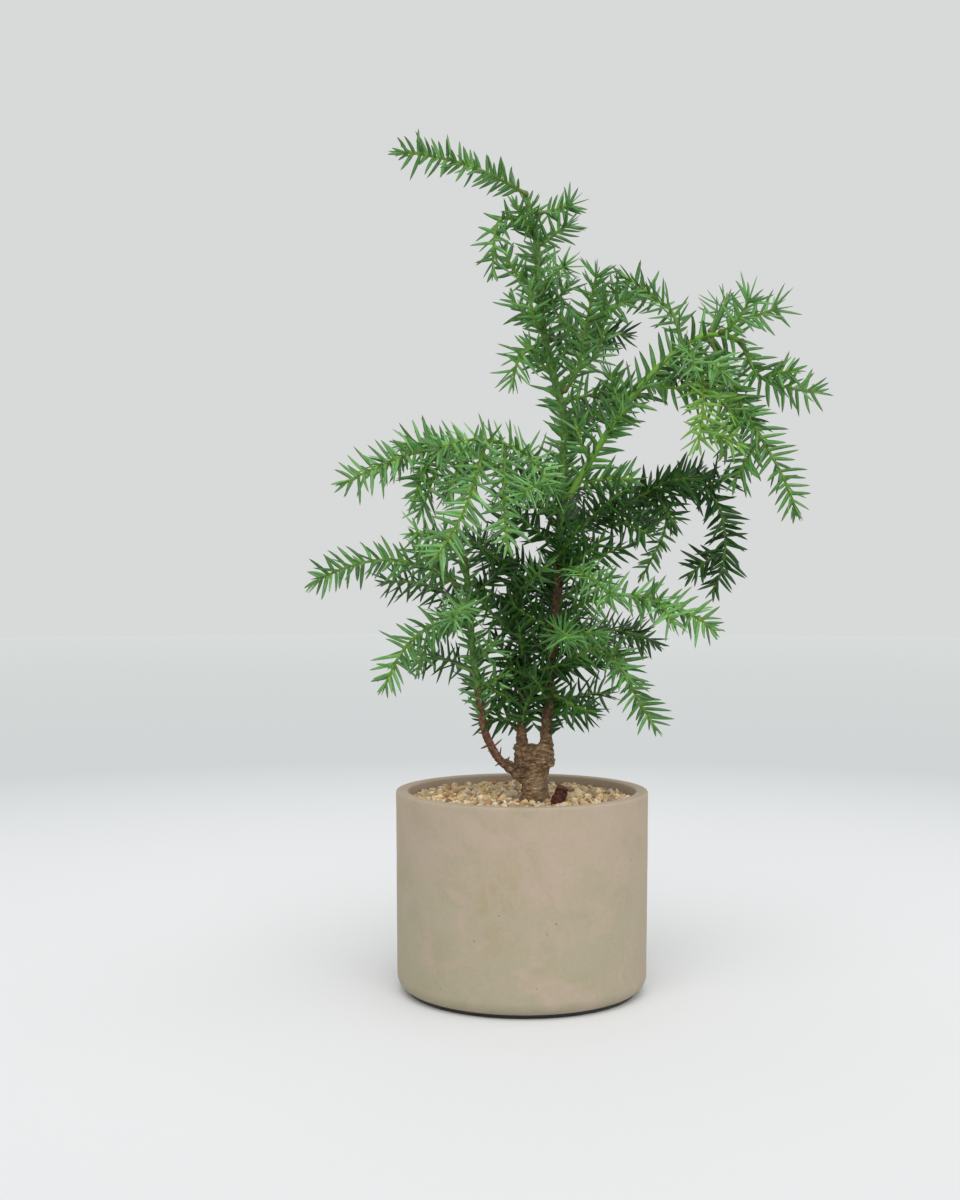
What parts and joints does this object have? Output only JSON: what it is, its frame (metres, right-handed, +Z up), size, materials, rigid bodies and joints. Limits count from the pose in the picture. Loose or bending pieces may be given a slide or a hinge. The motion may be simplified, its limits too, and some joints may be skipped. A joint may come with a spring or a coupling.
{
  "type": "artificial tabletop tree",
  "caption": "Artificial conifer-like tabletop tree: needle sprays on wired stems and a bark trunk, set in gravel in a round grey-beige pot.",
  "frame": {"origin": "centre of the base pad's underside, on the surface the pot stands on", "axes": "+Z up, -Y towards the front, +X to the right seen from the front"},
  "size_m": [0.2554, 0.1553, 0.4221],
  "materials": {
    "felt": "dark felt",
    "concrete": "matt cast concrete, blotchy warm grey-beige with small pits",
    "foam": "matt floral filler",
    "gravel": "matt mixed cream, tan and brown gravel",
    "bark": "matt moulded bark with horizontal rings",
    "dark_bark": "matt dark broken wood",
    "stem_bark": "satin moulded stem, red-brown below and green above",
    "steel": "drawn wire",
    "limb_green": "satin yellow-green moulded branch",
    "foliage_green": "satin moulded needles, mid to dark green with browner tips"
  },
  "bodies": {
    "root": {"base_pad": "felt", "pot": "concrete", "foam_plug": "foam", "gravel_bed": "gravel", "trunk": "bark", "trunk_rod": "steel", "snag": "dark_bark", "left_stem": "stem_bark", "left_core": "steel", "middle_stem": "stem_bark", "middle_core": "steel", "leader": "stem_bark", "leader_core": "steel", "crown_left": "foliage_green", "crown_right": "foliage_green", "foot_front": "foliage_green", "foot_right": "foliage_green", "front_mid": "foliage_green", "left_back": "foliage_green", "left_front": "foliage_green", "middle_back": "foliage_green", "middle_left": "foliage_green", "middle_low": "foliage_green", "middle_top": "foliage_green", "upper_front": "foliage_green", "upper_left": "foliage_green", "upper_left_low": "foliage_green"},
    "right_limb": {"right_limb": "limb_green", "limb_fill": "foliage_green", "limb_inner": "foliage_green", "limb_star": "foliage_green", "limb_top": "foliage_green"},
    "crown_spray": {"crown_spray": "foliage_green"},
    "upper_right": {"upper_fork": "foliage_green", "upper_right": "foliage_green"},
    "upper_back": {"upper_back": "foliage_green"},
    "back_high": {"back_high": "foliage_green"},
    "left_arch": {"arch_drop": "foliage_green", "arch_inner": "foliage_green", "left_arch": "foliage_green"},
    "left_arch_front": {"left_arch_front": "foliage_green"},
    "centre_front": {"centre_front": "foliage_green"},
    "right_dark": {"right_dark": "foliage_green"},
    "right_fork": {"right_fork": "foliage_green"},
    "back_mid": {"back_mid": "foliage_green"},
    "back_low": {"back_low": "foliage_green"},
    "front_right": {"front_right": "foliage_green"},
    "low_right": {"low_right": "foliage_green"},
    "low_front": {"low_front": "foliage_green"},
    "low_back": {"low_back": "foliage_green"},
    "left_mid": {"left_mid": "foliage_green"},
    "left_mid_back": {"left_mid_back": "foliage_green"},
    "left_low": {"left_low": "foliage_green"},
    "left_top": {"left_top": "foliage_green"},
    "middle_front": {"middle_front": "foliage_green"},
    "limb_back": {"limb_back": "foliage_green"},
    "limb_right": {"limb_right": "foliage_green"},
    "limb_droop": {"limb_droop": "foliage_green"},
    "limb_front": {"limb_front": "foliage_green"}
  },
  "joints": [
    {"name": "right_limb_bend", "type": "hinge", "parent": "root", "child": "right_limb", "pos_m": [0.02284, -0.01463, 0.24586], "axis": [-0.309, -0.9511, 0], "range_deg": [-15, 6]},
    {"name": "crown_spray_bend", "type": "hinge", "parent": "root", "child": "crown_spray", "pos_m": [0.00154, -0.00393, 0.39595], "axis": [-0.342, 0.9397, 0], "range_deg": [-25, 25]},
    {"name": "upper_right_bend", "type": "hinge", "parent": "root", "child": "upper_right", "pos_m": [0.0206, -0.01215, 0.29827], "axis": [-0.5736, -0.8192, 0], "range_deg": [-20, 10]},
    {"name": "upper_back_bend", "type": "hinge", "parent": "root", "child": "upper_back", "pos_m": [0.01359, -0.0054, 0.32385], "axis": [0.8192, -0.5736, 0], "range_deg": [-25, 25]},
    {"name": "back_high_bend", "type": "hinge", "parent": "root", "child": "back_high", "pos_m": [0.02192, -0.00755, 0.27653], "axis": [0.9397, -0.342, 0], "range_deg": [-25, 25]},
    {"name": "left_arch_bend", "type": "hinge", "parent": "root", "child": "left_arch", "pos_m": [0.01461, -0.01494, 0.23318], "axis": [-0.342, 0.9397, 0], "range_deg": [-15, 14]},
    {"name": "left_arch_front_bend", "type": "hinge", "parent": "root", "child": "left_arch_front", "pos_m": [0.01678, -0.01571, 0.25518], "axis": [-0.766, 0.6428, 0], "range_deg": [-14, 25]},
    {"name": "centre_front_bend", "type": "hinge", "parent": "root", "child": "centre_front", "pos_m": [0.01789, -0.017, 0.24514], "axis": [-0.9659, 0.2588, 0], "range_deg": [-20, 18]},
    {"name": "right_dark_bend", "type": "hinge", "parent": "root", "child": "right_dark", "pos_m": [0.02241, -0.01263, 0.22777], "axis": [0.2588, -0.9659, 0], "range_deg": [-16, 12]},
    {"name": "right_fork_bend", "type": "hinge", "parent": "root", "child": "right_fork", "pos_m": [0.02246, -0.01025, 0.24969], "axis": [0.6157, -0.788, 0], "range_deg": [-10, 22]},
    {"name": "back_mid_bend", "type": "hinge", "parent": "root", "child": "back_mid", "pos_m": [0.02038, -0.00849, 0.2567], "axis": [0.9781, -0.2079, 0], "range_deg": [-18, 25]},
    {"name": "back_low_bend", "type": "hinge", "parent": "root", "child": "back_low", "pos_m": [0.01664, -0.01142, 0.20072], "axis": [0.9962, 0.0872, 0], "range_deg": [-12, 25]},
    {"name": "front_right_bend", "type": "hinge", "parent": "root", "child": "front_right", "pos_m": [0.02012, -0.01852, 0.18893], "axis": [-0.4226, -0.9063, 0], "range_deg": [-25, 12]},
    {"name": "low_right_bend", "type": "hinge", "parent": "root", "child": "low_right", "pos_m": [0.01797, -0.01904, 0.16296], "axis": [-0.2588, -0.9659, 0], "range_deg": [-25, 18]},
    {"name": "low_front_bend", "type": "hinge", "parent": "root", "child": "low_front", "pos_m": [0.01491, -0.02159, 0.17343], "axis": [-0.9962, -0.0872, 0], "range_deg": [-25, 16]},
    {"name": "low_back_bend", "type": "hinge", "parent": "root", "child": "low_back", "pos_m": [0.0176, -0.01364, 0.17378], "axis": [0.766, -0.6428, 0], "range_deg": [-25, 25]},
    {"name": "left_mid_bend", "type": "hinge", "parent": "root", "child": "left_mid", "pos_m": [-0.03041, -0.03061, 0.20195], "axis": [0, 1, 0], "range_deg": [-25, 18]},
    {"name": "left_mid_back_bend", "type": "hinge", "parent": "root", "child": "left_mid_back", "pos_m": [-0.02826, -0.02707, 0.19154], "axis": [0.7071, 0.7071, 0], "range_deg": [-25, 25]},
    {"name": "left_low_bend", "type": "hinge", "parent": "root", "child": "left_low", "pos_m": [-0.02901, -0.03023, 0.18507], "axis": [-0.342, 0.9397, 0], "range_deg": [-25, 18]},
    {"name": "left_top_bend", "type": "hinge", "parent": "root", "child": "left_top", "pos_m": [-0.02821, -0.03219, 0.21498], "axis": [-0.9063, 0.4226, 0], "range_deg": [-25, 25]},
    {"name": "middle_front_bend", "type": "hinge", "parent": "root", "child": "middle_front", "pos_m": [-0.00658, -0.01207, 0.21163], "axis": [-0.9063, 0.4226, 0], "range_deg": [-14, 18]},
    {"name": "limb_back_bend", "type": "hinge", "parent": "right_limb", "child": "limb_back", "pos_m": [0.07495, -0.03492, 0.31922], "axis": [0.9903, 0.1392, 0], "range_deg": [-12, 12]},
    {"name": "limb_right_bend", "type": "hinge", "parent": "right_limb", "child": "limb_right", "pos_m": [0.10193, -0.04756, 0.31731], "axis": [0.342, -0.9397, 0], "range_deg": [-15, 20]},
    {"name": "limb_droop_bend", "type": "hinge", "parent": "right_limb", "child": "limb_droop", "pos_m": [0.08813, -0.04233, 0.31813], "axis": [-0.4695, -0.8829, 0], "range_deg": [-18, 9]},
    {"name": "limb_front_bend", "type": "hinge", "parent": "right_limb", "child": "limb_front", "pos_m": [0.07772, -0.03971, 0.31524], "axis": [-0.9272, -0.3746, 0], "range_deg": [-20, 12]}
  ]
}
